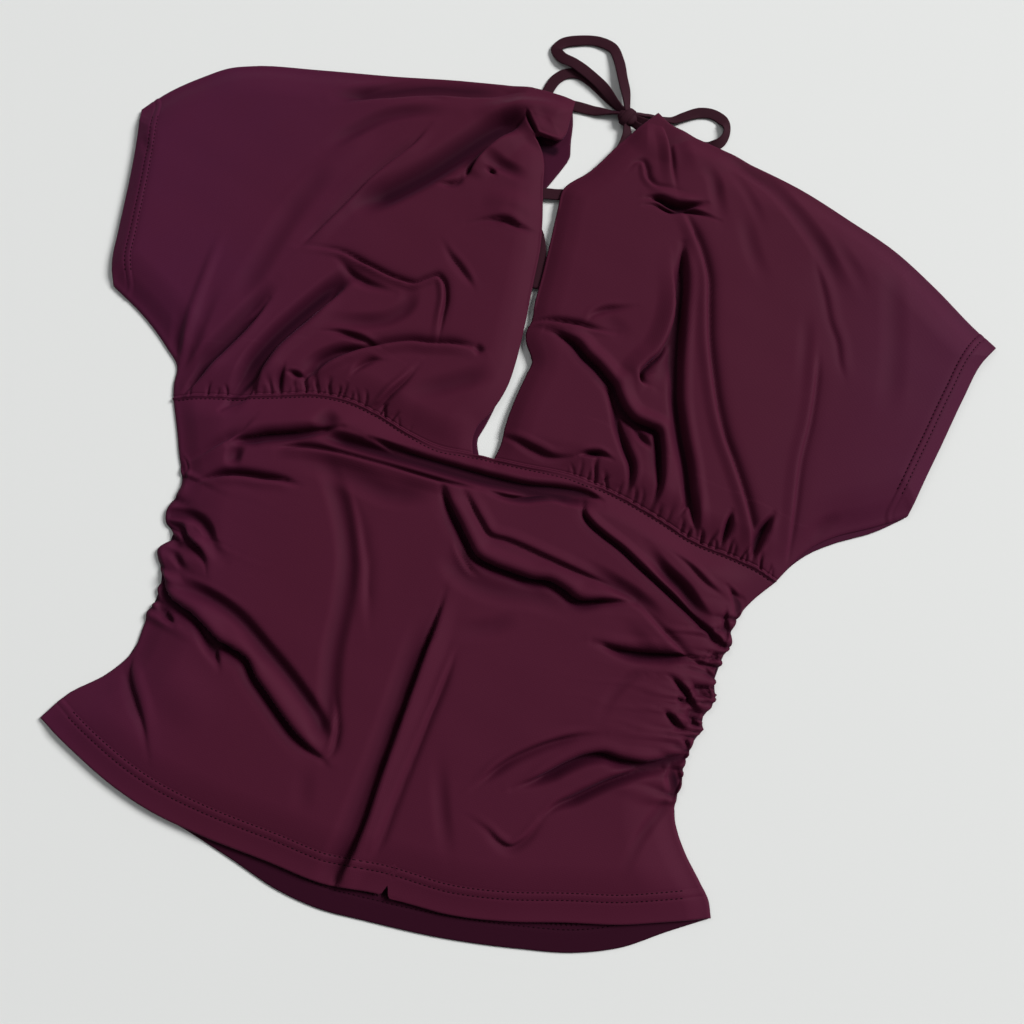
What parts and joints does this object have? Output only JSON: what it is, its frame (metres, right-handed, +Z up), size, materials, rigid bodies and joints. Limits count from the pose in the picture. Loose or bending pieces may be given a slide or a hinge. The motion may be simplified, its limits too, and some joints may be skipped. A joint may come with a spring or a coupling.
{
  "type": "tie-neck batwing top",
  "caption": "Short stretch top laid flat: batwing sleeves, slit front gathered into a waist seam, ruched lower panel and a tied neck.",
  "frame": {"origin": "on the table under the middle of the laid-out cloth, without the ties", "axes": "+X from the wearer's right cuff to the left cuff, +Y from the hem to the neck, +Z up from the table, out of the front of the top"},
  "size_m": [0.5395, 0.5444, 0.0137],
  "materials": {
    "bodice_cloth": "matt stretch jersey with a faint sheen",
    "lower_cloth": "matt stretch jersey with a faint sheen",
    "back_cloth": "matt stretch jersey, in shade",
    "tie_cloth": "matt stretch jersey, sewn as a narrow tube"
  },
  "bodies": {
    "root": {"front_bodice_right": "bodice_cloth", "front_bodice_left": "bodice_cloth", "front_lower": "lower_cloth", "back_bodice_right": "back_cloth", "back_bodice_left": "back_cloth", "back_lower": "back_cloth", "tie_strap_right": "tie_cloth", "tie_strap_left": "tie_cloth", "tie_loop_right": "tie_cloth", "tie_loop_left": "tie_cloth", "tie_end_right": "tie_cloth", "tie_end_left": "tie_cloth", "tie_knot": "tie_cloth"}
  },
  "joints": []
}
